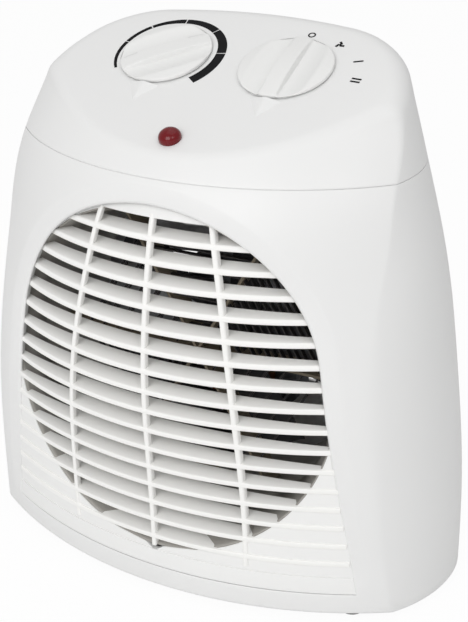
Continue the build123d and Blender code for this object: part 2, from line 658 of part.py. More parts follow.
def foot():
    """Rubber foot with its peg, about its own axis and standing on the floor."""
    disc = Pos(0, 0, FOOT_H / 2) * Cylinder(FOOT_R, FOOT_H)
    disc = chamfer(disc.edges().group_by(Axis.Z)[0], 0.8)
    return disc + Pos(0, 0, FOOT_H + WALL / 2) * Cylinder(PEG_R, WALL)


def fan_retainer():
    """Hexagonal nut that holds the impeller on the shaft."""
    nut = extrude(RegularPolygon(NUT_R, 6), NUT_T)
    nut = Pos(0, FAN_FRONT_Y, GRILLE_Z) * Rot(90, 0, 0) * nut
    return nut - rod_y(SHAFT_R + SHAFT_FIT, FAN_FRONT_Y - NUT_T - 1, FAN_FRONT_Y + 1)


def terminal_block():
    """Three-way terminal block on the floor beside the duct."""
    width, depth, height = TERMINAL_SIZE
    at = Pos(TERMINAL_X, TERMINAL_Y, FOOT_H + WALL + height / 2)
    block = at * Box(width, depth, height)
    block = block - at * Pos(0, 0, height / 2) * Box(width - 4, 5, 5)
    for x in (-WIRE_PITCH, 0, WIRE_PITCH):
        block = block - at * Pos(x, 0, 0) * Rot(90, 0, 0) * Cylinder(WIRE_R, 2 * depth)
        block = block - at * Pos(x, 0, height / 2) * Cylinder(WIRE_R + 0.4, 8)
    return block


def cord_inlet_bush():
    """Flanged bush in the inlet hole at the back."""
    inner_y, outer_y = INLET_INNER_Y, INLET_PAD_Y + FLANGE_T
    bush = rod_y(INLET_R, inner_y - 2 * FLANGE_T, outer_y, INLET_X, INLET_Z)
    bush = bush + rod_y(INLET_R + 3, INLET_PAD_Y, outer_y, INLET_X, INLET_Z)
    bush = bush + rod_y(INLET_R + 2, inner_y - 2, inner_y, INLET_X, INLET_Z)
    return bush - rod_y(INLET_R - INLET_WALL, 40, 80, INLET_X, INLET_Z)


SHELL = lower_shell()
LOOPS = coil()
THERMOSTAT = on_panel(-KNOB_X) * Rot(0, 0, THERMOSTAT_REST)
MODE = on_panel(KNOB_X)
NODES = {
    "front_housing": front_housing(SHELL),
    "rear_cover": rear_cover(SHELL),
    "top_cover": top_cover(),
    "front_grille": front_grille(),
    "dial_marks": dial_marks(),
    "thermostat_knob": THERMOSTAT * knob(),
    "thermostat_spindle": THERMOSTAT * spindle(11),
    "thermostat_body": on_panel(-KNOB_X) * control_body(THERMOSTAT_SIZE, (-7, 7)),
    "mode_knob": MODE * knob(),
    "switch_spindle": MODE * spindle(13),
    "switch_body": on_panel(KNOB_X) * control_body(SWITCH_SIZE, (-8, 0, 8)),
    "control_screws": control_screws(),
    "pilot_lens": pilot_lens(),
    "pilot_lamp": pilot_lamp(),
    "duct_shroud": duct_shroud(),
    "mica_frame": mica_frame(LOOPS),
    "heating_coil": LOOPS,
    "thermal_cutout": thermal_cutout(),
    "thermal_fuse": thermal_fuse(),
    "fan_impeller": fan_impeller(),
    "fan_retainer": fan_retainer(),
    "motor_shaft": motor_shaft(),
    "motor_rotor": motor_rotor(),
    "motor_core": motor_core(),
    "motor_coil": motor_coil(),
    "motor_bracket": motor_bracket(),
    "motor_screws": [pan_screw(x, GRILLE_Z + z, REAR_BRIDGE_Y + BRACKET_T, 28) for x, z in POSTS],
    "terminal_block": terminal_block(),
    "cord_inlet_bush": cord_inlet_bush(),
    "feet": [Pos(x, y, 0) * foot() for x, y in FEET],
    "housing_screws": [pan_screw(x, z, SCREW_HEAD_Y, SCREW_HEAD_Y - SPLIT_Y + 14)
                       for x, z in BOSSES],
}

for name, shape in NODES.items():
    if isinstance(shape, list):
        shape = Compound(children=[Part([s for s in item.solids()]) for item in shape])
    export_step(shape, f"parts/{name}.step")
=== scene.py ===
import json
import math

import bmesh
import bpy
import numpy as np
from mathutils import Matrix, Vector, geometry


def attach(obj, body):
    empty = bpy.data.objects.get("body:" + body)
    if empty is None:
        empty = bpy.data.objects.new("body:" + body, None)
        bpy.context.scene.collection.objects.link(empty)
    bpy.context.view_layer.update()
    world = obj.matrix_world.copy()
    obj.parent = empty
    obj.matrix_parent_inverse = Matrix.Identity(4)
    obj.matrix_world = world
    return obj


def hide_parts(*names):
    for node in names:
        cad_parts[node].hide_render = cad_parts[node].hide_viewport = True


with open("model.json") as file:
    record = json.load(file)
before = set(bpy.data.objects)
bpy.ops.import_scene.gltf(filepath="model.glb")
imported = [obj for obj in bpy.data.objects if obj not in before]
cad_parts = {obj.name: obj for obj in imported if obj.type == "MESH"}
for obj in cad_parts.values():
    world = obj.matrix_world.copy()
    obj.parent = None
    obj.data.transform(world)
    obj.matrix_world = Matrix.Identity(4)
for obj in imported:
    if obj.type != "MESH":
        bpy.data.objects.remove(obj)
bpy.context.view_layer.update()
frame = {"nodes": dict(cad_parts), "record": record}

MM = 0.001
NODES = frame["nodes"]

# Body surface, in millimetres. Plan at some heights: height, depth of the front's middle,
# radius of the front, half width, depth of the widest line and depth of the rear's middle
STATIONS = np.array([
    (3.0, -58.1, 187.0, 113.4, 10.8, 63.4),
    (55.0, -62.3, 184.5, 111.3, 9.0, 63.4),
    (109.0, -66.6, 146.7, 104.4, 7.2, 63.0),
    (154.0, -62.1, 124.0, 95.4, 4.5, 61.2),
    (187.0, -50.9, 118.0, 86.9, 2.7, 57.6),
    (208.0, -36.0, 115.0, 80.0, 3.6, 54.0),
    (240.0, -31.6, 118.0, 68.0, 6.4, 47.4)])
# Height, radius of the side and radius of the crease between front and side
SIDES = np.array([
    (3.0, 65.0, 7.0), (40.0, 66.5, 12.0), (70.0, 71.5, 18.0), (90.0, 73.5, 24.0),
    (109.0, 71.3, 26.0), (130.0, 63.5, 18.0), (154.0, 54.0, 9.0), (187.0, 57.5, 5.0),
    (208.0, 52.0, 7.0), (240.0, 50.0, 14.0)])
# Half width trimmed for each millimetre of side radius over the first value
SIDE_R0 = 63.0
SIDE_TRIM = 0.124
# Arc across the back and the corner between it and the side
REAR_R = 225.0
REAR_CORNER_R = 38.0
# Ends of the five arcs of half an outline, as shares of the way from front to back
BREAKS = (0.33, 0.41, 0.63, 0.75, 1.0)
# Width in millimetres that the flat domain gives to half an outline
A_SCALE = 262.0

FLOOR_Z = 3.0
SEAM_Z = 187.0
TOP_Z = 240.0
SEAM_GAP = 0.12
SPLIT_Y = 36.0
SPLIT_GAP = 0.15
BASE_GAP = 0.2
FAR_Y = 90.0
WALL = 2.4
FOOT_ROLL = 1.6

# Arch opening and the sloped band round it
ARCH_Z = 107.3
ARCH_R = 71.0
ARCH_FOOT_X = 85.5
ARCH_FOOT_Z = 13.5
ARCH_ROLL = 1.2
BAND_W = 6.8
BAND_DEPTH = 1.8

# Louvred insert: its face leans back from the front of the body
GRILLE_Z = 100.0
PITCH = 9.0
SLOTS = 17
LEAN = 3.0
LEAN_SLOPE = 0.03
LEAN_MIN = 0.3
FIELD_R = 75.4
FIT = 0.3
BLADE_T = 3.2
BLADE_RISE = 0.05
# Arcs of a blade's front and rear edges: depth of the middle and radius
BLADE_FRONT = (-62.0, 146.7)
BLADE_REAR = (-52.6, 202.0)
BLADE_MIN = 3.2
# Distance from the middle beyond which a blade's depth stays the same
BLADE_FLAT_X = 75.0
# Where the face leans back further than this, the blades' ends enter the arch's wall
DEEP_LEAN = 1.7
BLADE_BITE = 0.6
BLADE_END_GAP = 0.02
BAR_DEPTH = 2.8
BAR_HALF = 1.1
# Side bars: distance from the middle at mid height, lean inward and bow towards the top
BAR_X = 37.5
BAR_LEAN = 8.5
BAR_BOW = 4.4
BAR_DOWN = 75.6
BAR_UP = 73.5
DUCT_FRONT_Y = -30.0
DUCT_R = 70.6

# Control panel: its plane, the knobs and the lens
TILT = math.radians(23.7)
PANEL_O = Vector((0.0, 9.0, 219.2))
PANEL_U = Vector((0.0, math.cos(TILT), math.sin(TILT)))
PANEL_N = Vector((0.0, -math.sin(TILT), math.cos(TILT)))
PANEL_ROLL = 9.0
KNOB_X = 27.5
KNOB_R = 19.6
KNOB_RIM = 2.0
KNOB_TOP = 3.4
GRIP_HALF = 4.0
GRIP_END = 18.3
SCOOP_R = 16.0
SCOOP_X = 6.8
SCOOP_FLOOR = 0.95
SPINDLE_R = 3.0
# Turn of the thermostat's knob at rest
KNOB_REST = math.radians(128.5)
LENS_V = -50.1
LENS_R = 4.6
LENS_H = 4.4
# Heights of the print's underside and face over the panel
PRINT_HEIGHTS = (0.01, 0.1)

# Back of the body
BOSSES = ((84.0, 10.5), (-84.0, 10.5), (68.0, 172.0), (-68.0, 172.0))
BOSS_HOLE_R = 3.5
SCREW_HEAD_Y = 40.5
VENT_R = 57.0
VENT_H = 4.4
VENT_BAR = 3.0
VENT_ROWS = 5
INLET_X = 45.0
INLET_Z = 22.0
INLET_HOLE_R = 9.0
INLET_PAD_Y = 60.9


def cubic(table):
    """Natural cubic through the rows of a table, as a function of its first column."""
    z = table[:, 0]
    n = len(z)
    a = np.zeros((n, n))
    b = np.zeros(table.shape)
    a[0, 0] = a[-1, -1] = 1.0
    for i in range(1, n - 1):
        h0, h1 = z[i] - z[i - 1], z[i + 1] - z[i]
        a[i, i - 1:i + 2] = h0, 2 * (h0 + h1), h1
        b[i] = 6 * ((table[i + 1] - table[i]) / h1 - (table[i] - table[i - 1]) / h0)
    curv = np.linalg.solve(a, b)

    def value(height):
        i = int(np.clip(np.searchsorted(z, height) - 1, 0, n - 2))
        h = z[i + 1] - z[i]
        p, q = (z[i + 1] - height) / h, (height - z[i]) / h
        return (p * table[i] + q * table[i + 1]
                + ((p ** 3 - p) * curv[i] + (q ** 3 - q) * curv[i + 1]) * h * h / 6)
    return value


station = cubic(STATIONS)
side = cubic(SIDES)
PLANS = {}


def corner_centre(c1, r1, c2, r2):
    """Point that lies r1 from one centre and r2 from another, on the right."""
    v = c2 - c1
    d = np.hypot(*v)
    a = (r1 * r1 - r2 * r2 + d * d) / (2 * d)
    h = math.sqrt(max(r1 * r1 - a * a, 0))
    u = v / d
    both = [c1 + a * u + s * h * np.array((-u[1], u[0])) for s in (1, -1)]
    return max(both, key=lambda q: q[0])


def plan(z):
    """Arcs of the right half of the outline at a height: centre, radius, start and end angle."""
    key = round(z, 4)
    if key not in PLANS:
        _, front_y0, front_r, half_w, wide_y, rear_y = station(z)
        _, side_r, crease_r = side(z)
        half_w -= SIDE_TRIM * (side_r - SIDE_R0)
        front_c = np.array((0, front_y0 + front_r))
        side_c = np.array((half_w - side_r, wide_y))
        rear_c = np.array((0, rear_y - REAR_R))
        crease_c = corner_centre(front_c, front_r - crease_r, side_c, side_r - crease_r)
        corner_c = corner_centre(rear_c, REAR_R - REAR_CORNER_R, side_c, side_r - REAR_CORNER_R)
        pairs = ((front_c, crease_c), (side_c, crease_c), (side_c, corner_c), (rear_c, corner_c))
        a1, a2, a3, a4 = (math.atan2(*(q - p)[::-1]) for p, q in pairs)
        PLANS[key] = [(front_c, front_r, -math.pi / 2, a1), (crease_c, crease_r, a1, a2),
                      (side_c, side_r, a2, a3), (corner_c, REAR_CORNER_R, a3, a4),
                      (rear_c, REAR_R, a4, math.pi / 2)]
    return PLANS[key]


def surf(u, z):
    """Point of the body surface: u runs from 0 at the front to 1 at the back, minus to the left."""
    s, w = (1 if u >= 0 else -1), min(abs(u), 1.0)
    lo = 0.0
    for (c, r, a0, a1), hi in zip(plan(z), BREAKS):
        if w <= hi:
            a = a0 + (a1 - a0) * (w - lo) / (hi - lo)
            return np.array((s * (c[0] + r * math.cos(a)), c[1] + r * math.sin(a), z))
        lo = hi


def surf_normal(u, z, du=0.0015, dz=0.4):
    """Outward normal of the body surface."""
    z0, z1 = max(z - dz, FLOOR_Z), min(z + dz, TOP_Z)
    n = np.cross(surf(u + du, z) - surf(u - du, z), surf(u, z1) - surf(u, z0))
    return n / np.linalg.norm(n)


def u_of(value, z, axis, lo=0.0, hi=0.52):
    """Parameter where x (axis 0) or y (axis 1) reaches a value, on the right half."""
    rising = surf(hi, z)[axis] > surf(lo, z)[axis]
    for _ in range(22):
        mid = (lo + hi) / 2
        if (surf(mid, z)[axis] < value) == rising:
            lo = mid
        else:
            hi = mid
    return (lo + hi) / 2


def rear_a(x, z):
    """Place across the flat domain of a point on the back of the body."""
    a = u_of(abs(x), z, 0, 0.6, 1.0) * A_SCALE
    return a if x >= 0 else 2 * A_SCALE - a


def rear_y_at(x, z):
    """Depth of the back of the body."""
    return surf(rear_a(abs(x), z) / A_SCALE, z)[1]


def arc_y(middle, radius, x):
    """Depth of an arc at a distance from its middle."""
    return middle + radius - math.sqrt(radius * radius - x * x)


def front_y(x, z):
    """Depth of the front of the body, without its crease."""
    _, middle, radius, *_ = station(min(max(z, FLOOR_Z), SEAM_Z))
    return arc_y(middle, radius, x)


def lean_at(z):
    """How far the louvred insert lies behind the front of the body."""
    return max(LEAN + LEAN_SLOPE * (z - GRILLE_Z), LEAN_MIN)


def louvre_y(x, z, back=0.0):
    """Depth of the louvred insert's face, or of a layer behind it."""
    return front_y(x, z) + lean_at(z) + back


def on_panel(x, v, w):
    """Point by its place on the control panel and its height over it."""
    p = PANEL_O + PANEL_U * v + PANEL_N * w
    return (x + p.x, p.y, p.z)


# Mesh helpers
def add_mesh(name, verts, faces, look, body="housing", smooth=True):
    """Mesh object from points in millimetres, riding on a body."""
    me = bpy.data.meshes.new(name)
    me.from_pydata([tuple(c * MM for c in v) for v in verts], [], faces)
    me.validate()
    ob = bpy.data.objects.new(name, me)
    bpy.context.scene.collection.objects.link(ob)
    bm = bmesh.new()
    bm.from_mesh(me)
    bmesh.ops.remove_doubles(bm, verts=bm.verts, dist=1e-7)
    bmesh.ops.recalc_face_normals(bm, faces=bm.faces)
    bm.to_mesh(me)
    bm.free()
    me.materials.append(look)
    if smooth:
        me.shade_smooth()
    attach(ob, body)
    return ob


def smooth_by_angle(ob, degrees):
    """Sharp edges where faces meet at more than an angle."""
    ob.data.set_sharp_from_angle(angle=math.radians(degrees))


def solidify(ob, thickness):
    """Wall that grows inward from a sheet."""
    m = ob.modifiers.new("wall", "SOLIDIFY")
    m.thickness = thickness * MM
    m.offset = -1.0
    m.use_even_offset = False


def ring_faces(first, second, count):
    """Quads between two closed rows of points, each given by its first index."""
    return [(first + k, first + (k + 1) % count, second + (k + 1) % count, second + k)
            for k in range(count)]


def lathe(profile, count):
    """Points and faces of a profile of (radius, height) turned about the local z axis."""
    verts, faces = [], []
    for r, h in profile:
        verts += [(r * math.cos(2 * math.pi * k / count), r * math.sin(2 * math.pi * k / count), h)
                  for k in range(count)]
    for i in range(len(profile) - 1):
        faces += ring_faces(i * count, (i + 1) * count, count)
    faces.append(tuple(range(count))[::-1])
    faces.append(tuple(range((len(profile) - 1) * count, len(profile) * count)))
    return verts, faces


def circle(radius, count, x=0.0, y=0.0):
    """Evenly spaced points of a circle."""
    return [(x + radius * math.cos(t), y + radius * math.sin(t))
            for t in np.linspace(0, 2 * math.pi, count, endpoint=False)]


def inside(poly, pts):
    """Even-odd test of many points against a closed polygon."""
    poly, pts = np.asarray(poly), np.asarray(pts)
    x, y = pts[:, 0], pts[:, 1]
    res = np.zeros(len(pts), bool)
    for (x0, y0), (x1, y1) in zip(poly, np.roll(poly, -1, 0)):
        cross = (y0 > y) != (y1 > y)
        with np.errstate(divide="ignore", invalid="ignore"):
            res ^= cross & (x < (x1 - x0) * (y - y0) / (y1 - y0) + x0)
    return res


def edge_distance(poly, pts):
    """Distance of many points to a closed polygon's outline."""
    poly, pts = np.asarray(poly, float), np.asarray(pts, float)
    best = np.full(len(pts), 1e9)
    for a, b in zip(poly, np.roll(poly, -1, 0)):
        d = b - a
        t = np.clip(((pts - a) @ d) / max(d @ d, 1e-12), 0, 1)
        best = np.minimum(best, np.hypot(*(pts - a - t[:, None] * d).T))
    return best


def resample(loop, step):
    """Closed loop with extra points so that no side is longer than the step."""
    out = []
    for a, b in zip(loop, loop[1:] + loop[:1]):
        n = max(1, int(math.ceil(math.dist(a, b) / step)))
        out += [(a[0] + (b[0] - a[0]) * k / n, a[1] + (b[1] - a[1]) * k / n) for k in range(n)]
    return out


def cut_band(loop, lo, hi):
    """Part of a closed outline between two heights."""
    def clip(pts, keep, level):
        out = []
        for a, b in zip(pts, pts[1:] + pts[:1]):
            ka, kb = keep(a[1]), keep(b[1])
            if ka:
                out.append(a)
            if ka != kb:
                t = (level - a[1]) / (b[1] - a[1])
                out.append((a[0] + (b[0] - a[0]) * t, level))
        return out
    pts = clip(loop, lambda z: z >= lo, lo)
    pts = clip(pts, lambda z: z <= hi, hi)
    return resample(pts, 3.0)


def patch(outer, holes, rings, step):
    """Triangles over a flat domain with holes; rings are extra loops of points."""
    pts, edges = [], []
    for poly in [outer] + holes + rings:
        base, n = len(pts), len(poly)
        pts.extend(poly)
        edges.extend((base + i, base + (i + 1) % n) for i in range(n))
    lo, hi = np.min(outer, 0), np.max(outer, 0)
    grid, row, y = [], 0, lo[1]
    while y < hi[1]:
        x = lo[0] + (row % 2) * step / 2
        while x < hi[0]:
            grid.append((x, y))
            x += step
        y += step * 0.866
        row += 1
    grid = np.array(grid)
    keep = inside(outer, grid) & (edge_distance(outer, grid) > step * 0.45)
    for poly in holes:
        keep &= ~inside(poly, grid) & (edge_distance(poly, grid) > step * 0.4)
    for poly in rings:
        keep &= edge_distance(poly, grid) > step * 0.4
    pts.extend(map(tuple, grid[keep]))
    out = geometry.delaunay_2d_cdt([Vector(p) for p in pts], edges, [], 0, 1e-5)
    verts = np.array([tuple(v) for v in out[0]])
    tris = [f for f in out[2] if len(f) == 3]
    middles = np.array([verts[list(f)].mean(0) for f in tris])
    ok = inside(outer, middles)
    for poly in holes:
        ok &= ~inside(poly, middles)
    return verts, [tuple(f) for f, k in zip(tris, ok) if k]


def open_edges(tris):
    """Edges of a sheet of triangles that only one triangle has, in its direction."""
    edges = dict.fromkeys(e for f in tris for e in zip(f, f[1:] + f[:1]))
    return [(p, q) for p, q in edges if (q, p) not in edges]


def boundary(tris):
    """Ordered boundary of an open sheet of triangles."""
    after = dict(open_edges(tris))
    start = next(iter(after))
    loop = [start]
    while after[loop[-1]] != start:
        loop.append(after[loop[-1]])
    return loop


def roll(d, r):
    """How far a rounded edge falls back at some distances from it."""
    d = np.clip(d, 0, r)
    return r - np.sqrt(r * r - (r - d) ** 2)


def arch_loop(grow, step=2.5):
    """Outline of the arch opening in x and z, anticlockwise from the left foot corner."""
    r, fx, fz = ARCH_R + grow, ARCH_FOOT_X + grow, ARCH_FOOT_Z - grow
    dx, dz = fx, fz - ARCH_Z
    turn = math.atan2(dz, dx) + math.acos(r / math.hypot(dx, dz))
    n = int(math.pi * r / step)
    top = [(r * math.cos(a), ARCH_Z + r * math.sin(a))
           for a in np.linspace(turn, math.pi - turn, n)]
    return resample([(-fx, fz), (fx, fz)] + top, step)


def arch_fixed(grow, count):
    """Arch outline with a set number of evenly spaced points."""
    loop = arch_loop(grow, 1.0)
    pts = np.array(loop + loop[:1])
    run = np.concatenate([[0], np.cumsum(np.hypot(*np.diff(pts, axis=0).T))])
    at = np.linspace(0, run[-1], count, endpoint=False)
    return list(zip(np.interp(at, run, pts[:, 0]), np.interp(at, run, pts[:, 1])))


# Materials
def material(name, base, rough, metallic=0.0, noise=0.02, bump=0.02, scale=900.0, spec=0.5,
             coat=0.0, trans=0.0):
    """Base colour with a faint mottle, uneven gloss and a fine surface grain."""
    m = bpy.data.materials.new(name)
    m.use_nodes = True
    nt = m.node_tree
    bsdf = nt.nodes["Principled BSDF"]
    bsdf.inputs["Metallic"].default_value = metallic
    bsdf.inputs["Specular IOR Level"].default_value = spec
    bsdf.inputs["Coat Weight"].default_value = coat
    bsdf.inputs["Transmission Weight"].default_value = trans
    place = nt.nodes.new("ShaderNodeTexCoord")

    def noise_node(size, detail):
        n = nt.nodes.new("ShaderNodeTexNoise")
        n.inputs["Scale"].default_value = size
        n.inputs["Detail"].default_value = detail
        nt.links.new(place.outputs["Object"], n.inputs["Vector"])
        return n

    def ramp(source, low, high):
        r = nt.nodes.new("ShaderNodeValToRGB")
        r.color_ramp.elements[0].position = 0.3
        r.color_ramp.elements[1].position = 0.7
        r.color_ramp.elements[0].color = (*low, 1)
        r.color_ramp.elements[1].color = (*high, 1)
        nt.links.new(source.outputs["Fac"], r.inputs["Fac"])
        return r

    low = tuple(max(c * (1 - noise), 0) for c in base)
    high = tuple(min(c * (1 + noise), 1) for c in base)
    nt.links.new(ramp(noise_node(18.0, 4), low, high).outputs["Color"], bsdf.inputs["Base Color"])
    gloss = ramp(noise_node(60.0, 3), (rough * 0.9,) * 3, (min(rough * 1.1, 1),) * 3)
    nt.links.new(gloss.outputs["Color"], bsdf.inputs["Roughness"])
    grain = nt.nodes.new("ShaderNodeBump")
    grain.inputs["Strength"].default_value = bump * 10
    grain.inputs["Distance"].default_value = 0.0001
    nt.links.new(noise_node(scale, 2).outputs["Fac"], grain.inputs["Height"])
    nt.links.new(grain.outputs["Normal"], bsdf.inputs["Normal"])
    return m


WHITE = material("housing_white", (0.80, 0.80, 0.795), 0.42, noise=0.006, bump=0.012, scale=1400)
FIELD = material("grille_field", (0.85, 0.85, 0.84), 0.42, noise=0.006, bump=0.008, scale=1400)
# grille_white is lighter than grille_field, though both are the insert's one plastic: painted light
# on the blades' tops.
GRILLE_PAINTED_LIGHT = material("grille_white", (0.90, 0.895, 0.875), 0.5, noise=0.006, bump=0.008, scale=1400)
KNOB = material("knob_white", (0.80, 0.80, 0.79), 0.34, noise=0.006, bump=0.006, scale=1500)
PRINT = material("print_black", (0.006, 0.006, 0.007), 0.7, noise=0.1, bump=0.01, scale=1800,
                 spec=0.15)
LENS = material("lens_red", (0.15, 0.002, 0.005), 0.2, noise=0.15, bump=0.004, scale=500,
                spec=0.3, coat=0.15)
CAD_LOOKS = {
    "print_black": PRINT,
    "lamp_glass": material("lamp_glass", (0.75, 0.35, 0.3), 0.1, noise=0.05, trans=0.6),
    # The duct, mica, heater ribbon and fan colours are their own colours darkened further: painted
    # shade inside the duct.
    "duct_grey": material("duct_grey", (0.36, 0.345, 0.32), 0.5, 0.1, noise=0.08, bump=0.03),
    "mica": material("mica", (0.24, 0.20, 0.145), 0.6, noise=0.25, bump=0.06, scale=300),
    "heater_ribbon": material("heater_ribbon", (0.06, 0.055, 0.055), 0.45, 0.6, noise=0.3,
                              bump=0.03),
    "cutout_metal": material("cutout_metal", (0.6, 0.6, 0.6), 0.35, 0.9, noise=0.08),
    "fuse_metal": material("fuse_metal", (0.55, 0.45, 0.28), 0.35, 0.8, noise=0.1),
    "fan_grey": material("fan_grey", (0.035, 0.035, 0.038), 0.5, noise=0.15, bump=0.02),
    "shaft_steel": material("shaft_steel", (0.5, 0.5, 0.52), 0.25, 1.0, noise=0.06),
    "core_steel": material("core_steel", (0.22, 0.22, 0.24), 0.5, 0.7, noise=0.15, bump=0.05),
    "winding": material("winding", (0.32, 0.12, 0.05), 0.4, noise=0.2, bump=0.08, scale=700),
    "bracket_zinc": material("bracket_zinc", (0.45, 0.46, 0.48), 0.4, 0.9, noise=0.12, bump=0.02),
    "screw_zinc": material("screw_zinc", (0.5, 0.51, 0.53), 0.35, 0.9, noise=0.1),
    "spindle_nylon": material("spindle_nylon", (0.7, 0.68, 0.6), 0.45, noise=0.03),
    "phenolic_brown": material("phenolic_brown", (0.05, 0.03, 0.022), 0.5, noise=0.2, bump=0.03),
    "block_nylon": material("block_nylon", (0.72, 0.7, 0.64), 0.45, noise=0.03),
    "rubber_black": material("rubber_black", (0.02, 0.02, 0.02), 0.7, noise=0.2, bump=0.04),
    "housing_white": WHITE, "grille_white": GRILLE_PAINTED_LIGHT, "knob_white": KNOB, "lens_red": LENS,
}
for part in frame["record"]["subparts"]:
    ob = NODES[part["node"]]
    ob.data.materials.clear()
    ob.data.materials.append(CAD_LOOKS[part["material_slot"]])


# Front and back shells of the body
def split_line(inset, way):
    """Right edge of a half of the body in the flat domain: way is -1 in front, 1 behind."""
    step = 4.0
    zs = [FLOOR_Z + inset, *np.arange(FLOOR_Z + step, SEAM_Z - step / 2, step), SEAM_Z - inset]
    return [(u_of(SPLIT_Y + way * SPLIT_GAP, z, 1, 0.36, 0.8) * A_SCALE + way * inset, z)
            for z in zs]


def body_patch(name, outer, holes, rings, depth, step):
    """Sheet of the body surface over a flat domain, set back by a depth at each point."""
    verts, tris = patch(outer, holes, rings, step)
    out = []
    for (a, z), d in zip(verts, depth(verts)):
        u = a / A_SCALE
        u = u if u <= 1 else u - 2
        zz = min(max(z, FLOOR_Z), SEAM_Z)
        n = surf_normal(min(max(u, -0.998), 0.998), zz)
        out.append(tuple(surf(u, zz) - n * d))
    ob = add_mesh(name, out, tris, WHITE)
    solidify(ob, WALL)
    return ob


def front_housing():
    """Front shell with the arch opening and the sloped band round it."""
    edge_roll, band_blend, band_end = 0.2, 0.5, BAND_W + 1.6
    fade_z, fade_h, roll_z, roll_h = ARCH_FOOT_Z, 14.0, 20.0, 40.0

    def frame_loop(inset):
        right = split_line(inset, -1)
        left = [(-a, z) for a, z in reversed(right)]
        return resample(right + left, 3.0)

    def arch_flat(grow):
        return [(math.copysign(u_of(abs(x), z, 0), x) * A_SCALE, z)
                for x, z in arch_loop(grow)]

    outer, hole = frame_loop(0.0), arch_flat(0.0)
    rings = [frame_loop(i) for i in (0.08, 0.2, 0.8, 1.6)]
    rings += [arch_flat(g) for g in (0.2, 0.6, 1.2, BAND_W - 0.5, BAND_W, BAND_W + 0.5, band_end)]

    def depth(pts):
        z = pts[:, 1]
        rim = np.maximum(roll(edge_distance(outer, pts), edge_roll), roll(z - FLOOR_Z, FOOT_ROLL))
        g = edge_distance(hole, pts)
        t = (BAND_W - g) / BAND_W
        slope = BAND_DEPTH * 0.5 * (t + np.sqrt(t * t + (band_blend / BAND_W) ** 2))
        slope[g > band_end] = 0
        # Both the band and the opening's rounded edge get flatter towards the foot
        slope *= np.clip((z - fade_z) / fade_h, 0.15, 1.0)
        return rim + slope + roll(g, ARCH_ROLL) * np.clip((z - roll_z) / roll_h, 0.5, 1.0)

    ob = body_patch("body_front", outer, [hole], rings, depth, 3.4)
    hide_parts("front_housing")


def base_plate(name, y0, y1, inset=1.7):
    """Flat underside inside the body outline, between two depths."""
    ring = [surf(u, FLOOR_Z) - surf_normal(u, FLOOR_Z) * inset for u in np.linspace(-1, 1, 241)]
    ring = [p for p in ring if y0 <= p[1] <= y1]
    ring.sort(key=lambda p: math.atan2(p[1] - (y0 + y1) / 2, p[0]))
    n = len(ring)
    verts = [(p[0], p[1], z) for z in (FLOOR_Z + 0.02, FLOOR_Z + WALL) for p in ring]
    faces = [tuple(range(n)), tuple(range(n, 2 * n))] + ring_faces(0, n, n)
    ob = add_mesh(name, verts, faces, WHITE, smooth=False)


def vent(z, x0, x1):
    """Rounded intake slot between two places across the back."""
    r = VENT_H / 2 - 0.01
    pts = [(x1 - r + r * math.cos(a), z + r * math.sin(a))
           for a in np.linspace(-math.pi / 2, math.pi / 2, 9)]
    pts += [(x0 + r + r * math.cos(a), z + r * math.sin(a))
            for a in np.linspace(math.pi / 2, 3 * math.pi / 2, 9)]
    return [(rear_a(x, q), q) for x, q in resample(pts, 3.0)]


def rear_cover():
    """Back shell with intake slots, screw recesses and the cord inlet's hole."""
    def frame_loop(inset):
        right = split_line(inset, 1)
        left = [(2 * A_SCALE - a, z) for a, z in reversed(right)]
        return resample(left[::-1] + right[::-1], 3.0)

    def round_hole(x, z, radius):
        return [(rear_a(p, q), q) for p, q in circle(radius, 28, x, z)]

    outer = frame_loop(0.0)
    rings = [frame_loop(i) for i in (0.25, 0.7, 1.6)]
    holes = []
    for row in range(-VENT_ROWS, VENT_ROWS + 1):
        z = GRILLE_Z + PITCH * row
        reach = math.sqrt(VENT_R ** 2 - (abs(z - GRILLE_Z) + VENT_H / 2) ** 2)
        holes += [vent(z, VENT_BAR, reach), vent(z, -reach, -VENT_BAR)]
    holes += [round_hole(x, z, BOSS_HOLE_R) for x, z in BOSSES]
    holes.append(round_hole(INLET_X, INLET_Z, INLET_HOLE_R))

    def depth(pts):
        return np.maximum(roll(edge_distance(outer, pts), 0.7),
                          roll(pts[:, 1] - FLOOR_Z, FOOT_ROLL))

    ob = body_patch("body_back", outer, holes, rings, depth, 4.0)
    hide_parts("rear_cover")


def screw_wells():
    """Recesses in the back that lead to the screw heads."""
    count, mouth, tail, verts, faces = 28, 0.6, 1.6, [], []
    for x, z in BOSSES:
        deep = rear_y_at(x, z) - SCREW_HEAD_Y
        profile = [(BOSS_HOLE_R, 0), (BOSS_HOLE_R, deep), (2.0, deep - 0.1), (0.4, deep - 0.1)]
        well, well_faces = lathe(profile, count)
        base = len(verts)
        for i, (a, b, h) in enumerate(well):
            px, pz = x + a, z + b
            # The first ring follows the back's surface, a little under it
            y = rear_y_at(px, pz) - mouth if i < count else SCREW_HEAD_Y + deep + tail - h
            verts.append((px, y, pz))
        faces += [tuple(base + i for i in face) for face in well_faces[:-2]]
    ob = add_mesh("screw_wells", verts, faces, WHITE)


def inlet_pad():
    """Raised pad round the cord inlet."""
    profile = [(5.3, 12.0), (5.3, 0.5), (5.8, 0.0), (9.2, 0.0), (10.0, 0.8), (10.0, 9.0)]
    verts, faces = lathe(profile, 48)
    verts = [(INLET_X + a, INLET_PAD_Y - h, INLET_Z + b) for a, b, h in verts]
    ob = add_mesh("inlet_pad", verts, faces[:-2], WHITE)


